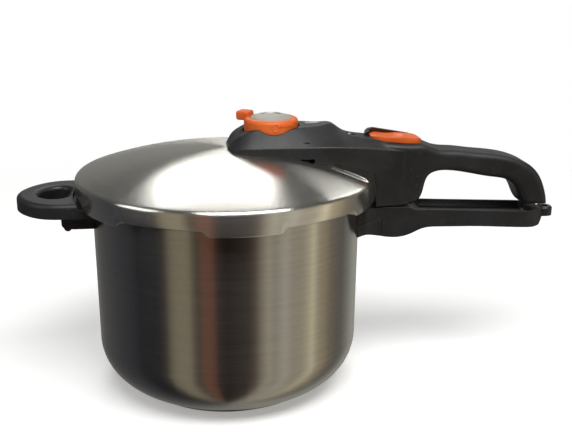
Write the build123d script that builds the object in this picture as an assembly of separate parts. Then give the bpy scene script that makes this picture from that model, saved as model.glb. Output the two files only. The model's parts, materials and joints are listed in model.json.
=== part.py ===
from build123d import *
from math import atan2, cos, degrees, hypot, pi, radians, sin, sqrt
import os

os.makedirs("parts", exist_ok=True)

# A 22 cm bayonet pressure cooker. The origin is the middle of the base on the table, +Z is up and
# the long handles point along +X. Every size is in millimetres.

# Clearances
touch_gap = 0.05        # between pieces that are fixed to each other
run_gap = 0.4           # between pieces that move past each other
thread_gap = 0.05       # between a screw and the hole it is screwed into

# Pot
pot_radius = 112.0      # outside of the wall at the rim
foot_radius = pot_radius - 1.0  # outside of the wall where the bottom corner starts
pot_wall = 1.0
corner_radius = 40.0
rim_height = 171.0      # top edge of the pot above the table
flange_drop = 4.0       # from the rim down to the underside of the flange
flange_thickness = 2.0
flange_ring = 2.4       # how far the flange stands out all round
tab_reach = 9.5         # how far the bayonet tabs stand out of the wall

# Sandwich base
base_height = 3.0
base_radius = 80.0
base_skin = 0.8

# Bayonet
lug_count = 6
lug_angle = 27.0        # degrees that one lug or tab covers
lug_phase = 3.0         # degrees from the handle's axis to the middle between two lugs

# Lid
lid_radius = pot_radius + 13.0  # outside of the skirt
lid_wall = 1.2
lid_crown = rim_height + 33.0  # top of the dome above the table
dome_drop = 21.03       # from the crown down to the shoulder
dome_radius = (lid_radius**2 + dome_drop**2) / (2 * dome_drop)
skirt_bottom = rim_height - 2.0
shoulder_radius = 4.0
lug_drop = 4.5          # how far the lugs hang below the skirt
lug_reach = 8.3         # how far the lugs reach inward from the skirt
lug_thickness = 1.2
lug_fold = 1.0          # radius of the outside of the fold

# Sealing ring
seal_inner_radius = pot_radius - 6.5
seal_height = 8.0
seal_lip = 2.0
seal_back = 6.0

# Lid handle
hub_half_width = 31.0
hub_crease = rim_height + 36.7  # height of the soft crease along the hub's sides
hub_top = rim_height + 50.2
hub_step = lid_radius - 37.0 # where the hub's flat top ends
hub_slope_end = lid_radius - 19.0
hub_rise = 1.4          # how far the flat top rises from the regulator to its end
hub_flat = rim_height + 42.0 # the lower flat in front of the slider
hub_edge = 1.6          # rounding of the hub's long edges
grip_foot_gap = 5.4     # from the trough's edge up to the end of the grip
hub_base_lift = 0.1     # between the hub and the dome
cheek_half_width = 19.5
grip_half_width = 14.8
grip_end = lid_radius + 154.0
split_height = rim_height - 18.2 # top of the pot handle's root, where the lid handle rests over it
grip_round = 5.5
shortest_rim = 12.0     # shorter edges of the grip stay sharp
rim_side = 8.5          # and so do those nearer to its middle than this
rest_gap = 1.0          # between the cheek and the pot handle's root
cheek_bottom = split_height + rest_gap
cheek_join = lid_radius + 3.0 # where the hub's sides run into the cheek
cheek_start = 3.0       # the cheek and the grip, measured out from the skirt
cheek_end = 30.0
foot_length = 20.0
grip_top = [(53, 30.2), (70, 28.4), (84, 26.7), (110, 23.6), (127, 18.9), (137, 13.6), (144.6, 6.0), (150.6, -6.0),
            (153.2, -15.0)]
grip_arch = [(128, -11.5), (123.5, -3.5), (117, 1.2), (103, 4.2), (83, 7.9), (64, 10.9), (53, 10.5), (46.5, 7.6),
             (42.6, -1.5), (39.5, -11.5), (35.5, -15.8)]
grip_narrowing = [(2, 0.9), (14, 0.3), (27, 1.0), (43, 2.6), (61, 4.1), (90, 4.7), (125, 4.3), (161, 3.5)]
skirt_gap = 1.2         # between the lid's skirt and the cheek
screw_reach = 10.0      # how far the screws go into the hub
mark_x = lid_radius + 53.0 # shallow oval mark on the grip
mark_length = 8.0
mark_width = 4.0
mark_floor = rim_height + 29.4
bar_x = 73.0            # shallow pointer bar behind the regulator
bar_length = 14.0
bar_width = 2.0
bar_depth = 0.5

# Regulator
valve_x = 37.5
ring_radius = 22.6
ring_height = 14.7
ring_bottom = rim_height + 42.6
ring_bore = 16.0
ring_web = 2.0
ring_shoulder = 3.0
ring_gap = 1.2          # between the ring and the hub's pocket
pocket_gap = 0.6        # under the ring
cap_radius = 17.3
cap_rise = 2.9
cap_thickness = 2.6
cap_recess_radius = 7.4
cap_recess_depth = 1.0
cap_gap = 0.3
tab_width = 12.0
tab_height = 7.8
tab_length = 12.0
tab_direction = 150.0   # degrees from +X
tab_sink = 3.8          # how far the tab reaches below the ring's top
tab_round = 2.0
vent_radius = 5.0
vent_bore = 1.6
vent_top = rim_height + 45.6
vent_foot = rim_height + 19.0
flange_radius = 8.0
flange_height = 3.0
washer_thickness = 0.8
nut_radius = 8.4
nut_height = 4.0
weight_radius = 9.0
weight_top = rim_height + 48.6

# Safety valve
safety_x = 64.0
safety_y = -20.0
safety_radius = 5.0
safety_flange = 6.2
safety_bore = 1.6
safety_chamber = 3.4
chamber_lift = 1.0      # floor of the ball's chamber above the flange's underside
safety_foot = rim_height + 16.0
safety_top = rim_height + 40.0
ball_radius = 2.4
plug_thickness = 1.8
notch_width = 13.0      # steam outlet under the hub's side
notch_height = 1.2

# Pressure indicator
pin_x = lid_radius - 21.0
pin_y = 0.0
pin_radius = 1.6
pin_top = rim_height + 42.6
pin_rise = 3.5
pin_head = 3.0
pin_head_thickness = 1.5
pin_slot = 8.0          # window over the pin
pin_slot_width = 5.6
pin_slot_depth = 2.8
pin_seal_height = 1.5

# Lock slider
slider_x = lid_radius + 18.5 # middle of the slider
slider_length = 44.0
slider_half_width = 11.5
slider_low = 4.2        # thickness at the lid end
slider_high = 5.2       # and at the raised hand end
slider_travel = 8.0
track_start = (lid_radius - 9.0, rim_height + 37.6)    # (x, z) where the sloping track of the slider starts
track_end = (lid_radius + 42.0, rim_height + 33.5)
slider_corner = 9.0
slider_gap = 0.4        # between the slider and its track
bed_depth = 0.8
dish_radius = 26.0      # thumb dish
dish_depth = 1.2
neck_half_width = 4.0
neck_half_length = 8.0
neck_depth = 3.2
bolt_thickness = 2.4
bolt_half_width = 5.5
bolt_tail = -28.0
bolt_nose = 10.0
guard_wall = 3.6        # lip round the far side of the slider
guard_height = 7.8
guard_root = 3.0
guard_end = 15.0

# Pot handle
root_half_width = 19.5
root_flare = 36.0
shelf_end = 39.0        # the pot handle, measured out from the wall
handle_end = [(167, 16.0), (166, 11.0), (161, 5.0), (155, 4.2)]
handle_underside = [(108, 6.3), (68, 7.2), (55, 6.4), (44, 2.0), (31, -0.6), (19, 0.6)]
handle_plan = [(-16, 36.0), (-5, 33.0), (5, 23.0), (18, 19.5), (38, 19.5), (56, 18.5), (103, 18.0), (146, 18.5)]
root_bottom = rim_height - 44.3
rim_start = (pot_radius + 49.0, rim_height - 21.2)    # (x, z) of the trough's edge near the pot
rim_end = (pot_radius + 165.0, rim_height - 26.4)
trough_depth = 6.0
trough_edge = 2.4
trough_taper = 24.0
trough_start = pot_radius + 52.0
trough_end = pot_radius + 156.0
pot_grip_half_width = 18.5
cover_end = pot_radius + 18.3
cover_top = rim_height - 29.3
cover_wall = 2.5
cover_gap = 0.3         # seam round the screw cover

# Hanging eye
eye_x = pot_radius + 170.4
eye_bore = 3.2
eye_bottom = rim_height - 34.0
eye_height = 8.0
eye_half_width = 7.0
eye_root_gap = 1.0
tang_length = 9.0

# Helper handle
helper_plan = [(-12, 41.0), (14, 41.0), (32, 39.6), (50.5, 26.5), (61, 0.0)]
helper_hole_plan = [(-12, 21.5), (16, 21.5), (30, 19.5), (40.5, 11.5), (44, 0.0)]
helper_bottom = rim_height - 14.5
helper_top = rim_height - 2.5
helper_root_bottom = rim_height - 28.0
helper_root_half_width = 24.0
helper_root_end = pot_radius + 23.5
helper_web = 4.0        # between the lid's sweep and the finger hole
helper_round = 4.0
helper_corner = 10.0
helper_bracket_z = rim_height - 23.0
helper_tongue_end = pot_radius + 19.0
helper_floor = 2.1      # between the screw's head and the tongue
helper_screw_x = pot_radius + 11.0
lid_sweep = lid_radius + 2.0 # everything above the lugs stays outside this radius

# Handle brackets
plate_outer = pot_radius + 3.5
plate_half_width = 14.0
plate_bottom = rim_height - 41.0
plate_top = rim_height - 23.5
tongue_half_width = 8.0
tongue_bottom = rim_height - 27.0
tongue_end = pot_radius + 40.0
bracket_thickness = 2.5
root_screw_x = pot_radius + 9.0
root_screw_pitch = 24.0

# Screws
screw_radius = 2.5
head_radius = 4.5
head_height = 3.0

flange_bottom = rim_height - flange_drop
skirt_inner = lid_radius - lid_wall
lug_bottom = skirt_bottom - lug_drop
tab_radius = pot_radius + tab_reach
ring_top = ring_bottom + ring_height
cap_seat = ring_top - cap_thickness
track_angle = degrees(atan2(track_start[1] - track_end[1], track_end[0] - track_start[0]))


def xz_face(*edges):
    """Closed face in the XZ plane from edges drawn as (x, z)."""
    return Plane.XZ * make_face(Curve() + list(edges))


def solid_of_revolution(face, arc=360.0):
    return revolve(face, Axis.Z, arc)


def disc(radius, bottom, top, x=0.0, y=0.0):
    return Pos(x, y, (bottom + top) / 2) * Cylinder(radius, top - bottom)


def block(x0, x1, half_width, z0, z1):
    return Pos((x0 + x1) / 2, 0, (z0 + z1) / 2) * Box(x1 - x0, 2 * half_width, z1 - z0)


def dome_height(radius):
    """Height of the dome's outside at a radius from the axis."""
    return lid_crown - dome_radius + sqrt(dome_radius**2 - radius**2)


def sector(inner, outer, bottom, top, angle):
    """Part of a ring, centred on +X."""
    face = Plane.XZ * Pos((inner + outer) / 2, (bottom + top) / 2) * Rectangle(outer - inner, top - bottom)
    return Rot(0, 0, -angle / 2) * solid_of_revolution(face, angle)


def gaps_between(inner, outer, bottom, top):
    """The sectors between the bayonet lugs, to be cut from a ring."""
    step = 360.0 / lug_count
    gap = sector(inner, outer, bottom, top, step - lug_angle)
    return [Rot(0, 0, lug_phase + step * i) * gap for i in range(lug_count)]


# Pot

def pot_envelope(gap=0.0):
    """The pot's outside as a filled solid, grown by a gap."""
    corner = corner_radius + gap
    flat = foot_radius - corner_radius
    centre_z = base_height + corner_radius
    start, end = (flat, base_height - gap), (foot_radius + gap, centre_z)
    middle = (flat + corner * sin(pi / 4), centre_z - corner * cos(pi / 4))
    outline = [
        Line((0, base_height - gap), start),
        ThreePointArc(start, middle, end),
        Line(end, (pot_radius + gap, rim_height)),
        Polyline((pot_radius + gap, rim_height), (0, rim_height), (0, base_height - gap)),
    ]
    return solid_of_revolution(xz_face(*outline))


def pot_body():
    shell = pot_envelope() - pot_envelope(-pot_wall) - disc(pot_radius - pot_wall, rim_height - 2 * pot_wall, rim_height)
    flange_top = flange_bottom + flange_thickness
    flange = sector(pot_radius - pot_wall / 2, tab_radius, flange_bottom, flange_top, 360.0)
    flange -= gaps_between(pot_radius + flange_ring, tab_radius + 1, flange_bottom - 1, flange_top + 1)
    return shell + flange


def base_core():
    return disc(base_radius - 2 * base_skin, base_skin, base_height - touch_gap)


def base_cover():
    inner = base_radius - base_skin
    edge = inner - (foot_radius - corner_radius)
    top = base_height + corner_radius - sqrt(corner_radius**2 - edge**2) - touch_gap
    cup = disc(base_radius, 0, top)
    cup = fillet(cup.edges().group_by(Axis.Z)[0], 2.0)
    return cup - disc(inner, base_skin - touch_gap, top)


# Lid

def lid_envelope(inset=0.0):
    """The lid's outside without its lugs as a filled solid, shrunk by an inset."""
    radius = lid_radius - inset
    corner_z = lid_crown - dome_radius + sqrt((dome_radius - inset)**2 - radius**2)
    crown = lid_crown - inset
    half = radius / 2
    half_z = lid_crown - dome_radius + sqrt((dome_radius - inset)**2 - half**2)
    outline = [
        ThreePointArc((0, crown), (half, half_z), (radius, corner_z)),
        Polyline((radius, corner_z), (radius, skirt_bottom), (0, skirt_bottom), (0, crown)),
    ]
    face = xz_face(*outline)
    corner = face.vertices().sort_by_distance((radius, 0, corner_z))[0]
    return solid_of_revolution(fillet(corner, max(shoulder_radius - inset, 0.5)))


def lug_ring():
    """The ring that the lugs are cut from: the skirt hung lower and folded inward."""
    outer = lid_radius
    inner = skirt_inner - lug_reach
    fold_z = lug_bottom + lug_thickness
    points = [(outer, skirt_bottom), (outer, lug_bottom), (inner, lug_bottom), (inner, fold_z),
              (skirt_inner, fold_z), (skirt_inner, skirt_bottom)]
    face = Plane.XZ * make_face(Polyline(*points, close=True))
    corner = face.vertices().sort_by_distance((outer, 0, lug_bottom))[0]
    ring = solid_of_revolution(fillet(corner, lug_fold))
    return ring - gaps_between(inner - 1, outer + 1, lug_bottom - 1, skirt_bottom)


def screw_spots():
    """Places of the two screws that hold the lid handle."""
    return [(84.0, 13.0), (84.0, -13.0)]


def lid_shell():
    shell = lid_envelope() - lid_envelope(lid_wall) - disc(skirt_inner, skirt_bottom - 1, skirt_bottom + 1)
    shell += lug_ring()
    low, high = lid_crown - 40, lid_crown + 5
    shell -= disc(vent_radius + touch_gap, low, high, valve_x)
    shell -= disc(safety_radius + touch_gap, low, high, safety_x, safety_y)
    shell -= disc(pin_radius + run_gap, low, high, pin_x, pin_y)
    for x, y in screw_spots():
        shell -= disc(screw_radius + touch_gap, low, high, x, y)
    return shell


def lid_gasket():
    bottom = rim_height + run_gap
    top = bottom + seal_height
    outer = skirt_inner - run_gap
    back = outer - seal_back
    points = [(seal_inner_radius, bottom), (outer, bottom), (outer, top - 3.5), (outer - 3, top),
              (seal_inner_radius + 3, top), (seal_inner_radius + 3, top - seal_lip),
              (back, top - seal_lip), (back, bottom + seal_lip), (seal_inner_radius, bottom + seal_lip)]
    return solid_of_revolution(Plane.XZ * make_face(Polyline(*points, close=True)))



# Lid handle

def hub_section(x, half_base, crease_z, half_top, top_z):
    """Cross-section of the hub at x: upright sides up to a crease, then sloping in to the top."""
    side = [(half_base, cheek_bottom), (half_base, crease_z), (half_top, top_z)]
    points = side + [(-y, z) for y, z in reversed(side)]
    outline = FilletPolyline(*points, radius=hub_edge, close=True)
    return Plane(origin=(x, 0, 0), x_dir=(0, 1, 0), z_dir=(1, 0, 0)) * make_face(outline)


def flat_height(x):
    """Height of the hub's flat top, which rises a little behind the regulator."""
    return hub_top + hub_rise * (x - valve_x) / (hub_step - valve_x)


def hub():
    """The broad part over the valve, from its blunt tip to the cheek outside the skirt."""
    wide, cheek, crease, step = hub_half_width, cheek_half_width, hub_crease, hub_step
    sections = [
        (0.6, 0.5 * wide, crease - 3.6, 0.3 * wide, crease - 1.0),
        (3.0, 0.72 * wide, crease - 1.6, 0.44 * wide, crease + 1.6),
        (7.0, 0.87 * wide, crease - 0.5, 0.56 * wide, crease + 6.0),
        (13.0, 0.95 * wide, crease, 0.62 * wide, crease + 9.6),
        (22.0, 0.99 * wide, crease, 0.65 * wide, hub_top - 0.2),
        (valve_x, wide, crease, ring_radius - 1.3, hub_top),
        (step - 36.0, 0.99 * wide, crease, 0.62 * wide, flat_height(step - 36.0)),
        (step - 22.0, 0.97 * wide, crease, 0.46 * wide, flat_height(step - 22.0)),
        (step - 10.0, 0.945 * wide, crease, 0.3 * wide, flat_height(step - 10.0)),
        (step, 0.915 * wide, crease - 0.3, 0.18 * wide, flat_height(step)),
        (step + 9.0, 0.875 * wide, crease - 0.8, 0.24 * wide, hub_top - 4.6),
        (hub_slope_end, 0.83 * wide, crease - 1.4, 0.33 * wide, hub_flat),
        (track_start[0], 0.77 * wide, crease - 2.4, 0.38 * wide, hub_flat - 1.6),
        (cheek_join, 1.1 * cheek, crease - 4.1, 0.72 * cheek, bed_height(cheek_join) + 0.9),
        (cheek_join + 13.0, 1.01 * cheek, crease - 5.5, 0.7 * cheek, bed_height(cheek_join + 13.0) - 1.5),
        (cheek_join + 26.0, 0.89 * cheek, crease - 8.0, 0.62 * cheek, bed_height(cheek_join + 26.0) - 4.0),
    ]
    return loft([hub_section(*section) for section in sections])


def track_height(x):
    """Height of the slider's sloping track at x."""
    slope = (track_end[1] - track_start[1]) / (track_end[0] - track_start[0])
    return track_start[1] + slope * (x - track_start[0])


def bed_height(x):
    """Height of the handle's top beside the slider, which runs in a shallow bed."""
    return track_height(x) + bed_depth


def grip():
    """The cheek beside the lid and the arched grip, with the finger gap between them."""
    start = (lid_radius + cheek_start, bed_height(lid_radius + cheek_start))
    rest = (lid_radius + cheek_end, cheek_bottom)
    toe, heel = (grip_end, rim_end[1] + grip_foot_gap), (grip_end - foot_length, rim_end[1] + grip_foot_gap)
    bed = [(x, bed_height(x)) for x in (start[0], start[0] + 13.0, track_end[0] - 13.0, track_end[0])]
    top = Spline(*bed, *beside_lid(grip_top), toe)
    inner = Spline(heel, *beside_lid(grip_arch), rest)
    outline = [top, Line(toe, heel), inner, Polyline(rest, (start[0], rest[1]), start)]
    solid = extrude(xz_face(*outline), 2 * cheek_half_width, both=True)
    half = [(lid_radius + x, cheek_half_width - y) for x, y in grip_narrowing]
    near, far = Spline(*[(x, -y) for x, y in half]), Spline(*half)
    ends = [Line((x, -y), (x, y)) for x, y in (half[0], half[-1])]
    plan = make_face(Curve() + [near, far] + ends)
    solid &= extrude(Pos(0, 0, rim_height - 100) * plan, 200)
    rims = [edge for edge in solid.edges() if edge.center().X > start[0] + 1 and edge.length > shortest_rim
            and abs(edge.center().Y) > rim_side]
    return fillet(rims, grip_round)


def beside_lid(points):
    """Points given as (distance out from the skirt, height over the pot's rim)."""
    return [(lid_radius + x, rim_height + z) for x, z in points]


def track():
    """Plane of the slider's sloping track, with its local x along the slide."""
    slope = radians(track_angle)
    return Plane(origin=(slider_x, 0, track_height(slider_x)), x_dir=(cos(slope), 0, -sin(slope)),
                 z_dir=(sin(slope), 0, cos(slope)))


def on_track(x0, x1, half_width, z0, z1):
    return track() * block(x0, x1, half_width, z0, z1)


def seat_height(x, y, flange):
    """Underside of a flange that stands level on the sloping dome."""
    return dome_height(hypot(x, y) - flange) + washer_thickness


def lid_handle():
    body = hub() + grip()
    body -= lid_envelope(-hub_base_lift)
    body -= disc(lid_radius + skirt_gap, split_height - 5, lid_crown - 30)
    vent_seat = seat_height(valve_x, 0, flange_radius)
    pocket = ring_bottom - pocket_gap
    body -= disc(ring_radius + ring_gap, pocket, hub_top + 10, valve_x)
    body -= disc(vent_radius + run_gap, vent_seat, pocket + 1, valve_x)
    body -= disc(flange_radius + run_gap, lid_crown - 20, vent_seat + flange_height + run_gap, valve_x)
    top = safety_top + run_gap
    body -= disc(safety_flange + run_gap, lid_crown - 20, top, safety_x, safety_y)
    notch_z = dome_height(hypot(safety_x, hub_half_width)) + notch_height
    body -= Pos(safety_x, safety_y - 10, notch_z - 10) * Box(notch_width, 20, 20)
    body -= disc(pin_radius + run_gap, lid_crown - 20, hub_top + 10, pin_x, pin_y)
    recess = Pos(pin_x + (pin_slot - pin_slot_width) / 2, pin_y, pin_top - pin_slot_depth)
    body -= extrude(recess * SlotOverall(pin_slot, pin_slot_width), 20)
    for x, y in screw_spots():
        body -= disc(screw_radius + touch_gap, lid_crown - 20, screw_top(x, y) + 1, x, y)
    body -= on_track(-neck_half_length - run_gap, neck_half_length + slider_travel + run_gap,
                     neck_half_width + run_gap, -neck_depth - 1, 10)
    body -= on_track(bolt_tail - run_gap, bolt_nose + slider_travel + run_gap, bolt_half_width + run_gap,
                     -neck_depth - bolt_thickness - run_gap, -neck_depth + run_gap)
    return body - slider_bed() - slider_guard() - grip_mark() - pointer_bar()


def slider_bed():
    """Flat bed that the slider runs on, cleared upward over its whole travel."""
    length = slider_length + slider_travel + 2 * run_gap
    bed = RectangleRounded(length, 2 * (slider_half_width + run_gap), slider_corner + run_gap)
    return track() * extrude(Pos(slider_travel / 2, 0, 0) * bed, 20)


def grip_mark():
    """A shallow oval groove on top of the grip where the slider's end stops."""
    place = Pos(mark_x, 0, track_end[1] + 5)
    ring = SlotOverall(mark_length, mark_width) - SlotOverall(mark_length - 1.2, mark_width - 1.2)
    reach = track_end[1] + 5 - mark_floor
    return extrude(place * ring, -reach)


def pointer_bar():
    """A shallow bar behind the regulator that its settings are read against."""
    slope = atan2(hub_rise, hub_step - valve_x)
    place = Plane(origin=(bar_x, 0, flat_height(bar_x) - bar_depth), x_dir=(cos(slope), 0, sin(slope)),
                  z_dir=(-sin(slope), 0, cos(slope)))
    return place * extrude(SlotOverall(bar_length, bar_width), 5)


def slider_guard():
    """The raised lip that wraps the far side of the slider and its lid end."""
    length, width = slider_length + 1.2, 2 * slider_half_width + 1.2
    outer = RectangleRounded(length + 2 * guard_wall, width + 2 * guard_wall, slider_corner + guard_wall)
    lip = extrude(Pos(0, 0, -guard_root) * (outer - RectangleRounded(length, width, slider_corner + 0.6)), 20)
    left, right = -length / 2 - guard_wall, guard_end
    side = [(left - 1, -guard_root - 1), (left - 1, guard_height * 0.6), (left + 4, guard_height * 0.92),
            (left + 9, guard_height), (right, guard_height * 0.62), (right, -guard_root - 1)]
    keep = extrude(Plane.XZ * make_face(Polyline(*side, close=True)), -width)
    return track() * (lip & keep)


def screw_top(x, y):
    return dome_height(hypot(x, y)) + screw_reach


def lid_handle_screws():
    screws = []
    for x, y in screw_spots():
        head_top = dome_height(hypot(x, y) + head_radius) - 1.1 * lid_wall
        head = disc(head_radius, head_top - head_height, head_top, x, y)
        slot = Pos(x, y, head_top - head_height) * Box(1.2, 2 * head_radius, 2.4)
        screws.append(head + disc(screw_radius, head_top - 0.1, screw_top(x, y), x, y) - slot)
    return Compound(screws)


# Regulator

def regulator_ring():
    inner, seat_radius = vent_radius + run_gap, cap_radius + cap_gap
    web_top = ring_bottom + ring_web
    points = [(inner, ring_bottom), (ring_radius, ring_bottom), (ring_radius, ring_top), (seat_radius, ring_top),
              (seat_radius, cap_seat), (ring_bore, cap_seat), (ring_bore, web_top), (inner, web_top)]
    face = Plane.XZ * make_face(Polyline(*points, close=True))
    edge = face.vertices().sort_by_distance((ring_radius, 0, ring_top))[0]
    ring = Pos(valve_x, 0, 0) * solid_of_revolution(fillet(edge, ring_shoulder))
    start = seat_radius + 0.5
    tab = block(start, start + tab_length, tab_width / 2, ring_top - tab_sink, ring_top - tab_sink + tab_height)
    tab = fillet(tab.edges(), tab_round)
    return ring + Pos(valve_x, 0, 0) * Rot(0, 0, tab_direction) * tab


def regulator_cap():
    crown = ring_top + cap_rise
    recess = crown - cap_recess_depth
    outline = [
        Polyline((0, recess), (0, cap_seat), (cap_radius, cap_seat), (cap_radius, ring_top)),
        ThreePointArc((cap_radius, ring_top), (0.72 * cap_radius, ring_top + 0.72 * cap_rise),
                      (cap_recess_radius + 0.8, crown)),
        Polyline((cap_recess_radius + 0.8, crown), (cap_recess_radius, recess), (0, recess)),
    ]
    return Pos(valve_x, 0, 0) * solid_of_revolution(xz_face(*outline))


def coil(radius, wire, bottom, top, turns):
    """A compression spring between two heights, centred on the Z axis."""
    rise = top - bottom - wire
    path = Pos(0, 0, bottom + wire / 2) * Helix(rise / turns, rise, radius)
    start = path @ 0
    section = Plane(origin=start, z_dir=path % 0) * Circle(wire / 2)
    return sweep(section, path, is_frenet=True)


def regulator_spring():
    return Pos(valve_x, 0, 0) * coil(5.0, 0.7, weight_top, cap_seat, 3)


def regulator_weight():
    """The weight on the spring, with the needle that closes the vent pipe."""
    seat = vent_top + run_gap
    body = disc(weight_radius, seat, weight_top)
    needle = Pos(0, 0, seat - 0.7) * Cone(vent_bore * 0.6, vent_bore + 0.4, 1.4)
    return Pos(valve_x, 0, 0) * (body + needle)


def vent_pipe():
    seat = seat_height(valve_x, 0, flange_radius)
    pipe = disc(vent_radius, vent_foot, vent_top) + hexagon(flange_radius, seat, seat + flange_height)
    pipe -= disc(vent_bore, vent_foot - 1, vent_top + 1)
    pipe -= Pos(0, 0, vent_top - 0.75) * Cone(vent_bore, vent_bore + 1.5, 1.5)
    return Pos(valve_x, 0, 0) * pipe


def hexagon(radius, bottom, top):
    return extrude(Pos(0, 0, bottom) * RegularPolygon(radius, 6), top - bottom)


def vent_washer():
    seat = seat_height(valve_x, 0, flange_radius)
    ring = disc(flange_radius - 0.4, seat - 5, seat, valve_x) - disc(vent_radius + touch_gap, seat - 6, seat + 1,
                                                                   valve_x)
    return ring - lid_envelope(-touch_gap)


def nut_top(x, y, radius):
    """Top of a nut held up level against the inside of the dome."""
    return dome_height(hypot(x, y) + radius) - 1.1 * lid_wall


def vent_nut():
    top = nut_top(valve_x, 0, nut_radius)
    nut = hexagon(nut_radius, top - nut_height, top) - disc(vent_radius + thread_gap, top - 10, top + 1)
    return Pos(valve_x, 0, 0) * nut


def vent_filter():
    """Strainer cup pressed on the lower end of the vent pipe."""
    bottom = vent_foot - 2.0
    cup = disc(vent_radius + 1.2, bottom, vent_foot + 3.5)
    cup -= disc(vent_radius + touch_gap, bottom + 1.0, vent_foot + 4.5)
    for i in range(6):
        cup -= Rot(0, 0, 60 * i) * disc(0.7, bottom - 1, bottom + 2, 2.8)
    return Pos(valve_x, 0, 0) * (cup - disc(0.7, bottom - 1, bottom + 2))


# Safety valve

def safety_seat():
    return seat_height(safety_x, safety_y, safety_flange)


def safety_valve_body():
    seat = safety_seat()
    chamber = seat + chamber_lift
    body = disc(safety_radius, safety_foot, safety_top) + hexagon(safety_flange, seat, seat + flange_height)
    body -= disc(safety_bore, safety_foot - 1, safety_top)
    body -= disc(safety_chamber, chamber, safety_top + 1)
    outlet = Pos(0, -safety_radius, chamber + 3.0) * Rot(90, 0, 0) * Cylinder(1.0, 2 * safety_radius)
    return Pos(safety_x, safety_y, 0) * (body - outlet)


def ball_centre():
    return safety_seat() + chamber_lift + sqrt(ball_radius**2 - safety_bore**2) + 0.3


def safety_ball():
    return Pos(safety_x, safety_y, ball_centre()) * Sphere(ball_radius)


def safety_spring():
    bottom = ball_centre() + ball_radius * 0.75
    top = safety_top - plug_thickness
    return Pos(safety_x, safety_y, 0) * coil(1.9, 0.5, bottom, top, 3)


def safety_plug():
    plug = disc(safety_chamber - thread_gap, safety_top - plug_thickness, safety_top)
    slot = Pos(0, 0, safety_top) * Box(1.0, 2 * safety_chamber, 1.2)
    return Pos(safety_x, safety_y, 0) * (plug - slot)


def safety_nut():
    top = nut_top(safety_x, safety_y, nut_radius)
    nut = hexagon(nut_radius, top - nut_height, top) - disc(safety_radius + thread_gap, top - 10, top + 1)
    return Pos(safety_x, safety_y, 0) * nut


# Pressure indicator

def pin_stop():
    """Top of the indicator's seal at rest, one rise under the lid."""
    inside = dome_height(hypot(pin_x, pin_y) + pin_head) - 1.1 * lid_wall
    return inside - pin_rise - run_gap


def indicator_pin():
    stop = pin_stop() - pin_seal_height
    pin = disc(pin_radius, stop - pin_head_thickness, pin_top) + disc(pin_head, stop - pin_head_thickness, stop)
    return Pos(pin_x, pin_y, 0) * fillet(pin.edges().group_by(Axis.Z)[-1], 0.6)


def indicator_seal():
    stop = pin_stop()
    seal = disc(pin_head - 0.3, stop - pin_seal_height, stop) - disc(pin_radius + touch_gap, stop - 5, stop + 1)
    return Pos(pin_x, pin_y, 0) * seal


# Lock slider

def lock_slider():
    """Thumb piece, thin at the lid end and raised at the hand end, with a neck through the slot."""
    half = slider_length / 2
    low, high = slider_low, slider_high
    top = Spline((-half, low * 0.8), (-half + 3, low), (-6, low), (4, 0.55 * (low + high)), (12, high),
                 (17, high), (half, high * 0.72))
    side = Plane.XZ * make_face(Curve() + [top, Polyline((half, high * 0.72), (half, slider_gap),
                                                         (-half, slider_gap), (-half, low * 0.8))])
    plan = RectangleRounded(slider_length, 2 * slider_half_width, slider_corner)
    thumb = extrude(side, slider_half_width + 1, both=True) & extrude(plan, 20)
    dish = Pos(-3, 0, low + dish_radius - dish_depth) * Sphere(dish_radius)
    neck = block(-neck_half_length, neck_half_length, neck_half_width, -neck_depth, 1)
    return track() * (thumb - dish + neck)


def lock_bolt():
    return on_track(bolt_tail, bolt_nose, bolt_half_width, -neck_depth - bolt_thickness, -neck_depth)


# Pot handle

def rim_line(x):
    """Height of the trough's edge at x."""
    slope = (rim_end[1] - rim_start[1]) / (rim_end[0] - rim_start[0])
    return rim_start[1] + slope * (x - rim_start[0])


def beside_pot(points):
    """Points given as (distance out from the pot's wall, height over the root's underside)."""
    return [(pot_radius + x, root_bottom + z) for x, z in points]


def pot_handle_blank():
    """Outside of the pot handle with its root, before it is split and hollowed."""
    inside = pot_radius - 16.0
    foot, shelf = (inside, root_bottom + 3.0), (pot_radius + shelf_end, split_height)
    end = beside_pot(handle_end)
    top = [Polyline(foot, (inside, split_height), shelf),
           Spline(shelf, rim_start, tangents=((1, 0), (1, -0.05))), Polyline(rim_start, rim_end, *end)]
    bottom = Spline(end[-1], *beside_pot(handle_underside), foot)
    side = extrude(xz_face(*top, bottom), 2 * root_flare, both=True)
    half = [(pot_radius + x, y) for x, y in handle_plan]
    last, nose = half[-1]
    tip = rim_end[0] + 2.5
    near, far = Spline(*[(x, -y) for x, y in half]), Spline(*half)
    round_end = Spline((last, -nose), (tip - 4.5, -0.62 * nose), (tip, 0), (tip - 4.5, 0.62 * nose), (last, nose),
                       tangents=((1, 0), (-1, 0)))
    back = half[0]
    plan = make_face(Curve() + [near, far, round_end, Line((back[0], -back[1]), back)])
    return (side & extrude(Pos(0, 0, root_bottom - 20) * plan, 80)) - pot_envelope(touch_gap)


def trough():
    """The hollow along the top of the pot handle."""
    middle = (trough_start + trough_end) / 2
    slope = atan2(rim_start[1] - rim_end[1], rim_end[0] - rim_start[0])
    plane = Plane(origin=(middle, 0, rim_line(middle)), x_dir=(cos(slope), 0, -sin(slope)),
                  z_dir=(sin(slope), 0, cos(slope)))
    width = 2 * (pot_grip_half_width - trough_edge)
    outline = RectangleRounded(trough_end - trough_start, width, 7.5)
    hollow = extrude(outline, -trough_depth, taper=trough_taper) + extrude(outline, 12)
    return plane * fillet(hollow.edges().group_by(Axis.Z)[0], 3.0)


def cover_block(end_gap, top_gap):
    return block(0, cover_end + end_gap, 2 * root_flare, root_bottom - 5, cover_top + top_gap)


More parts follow.
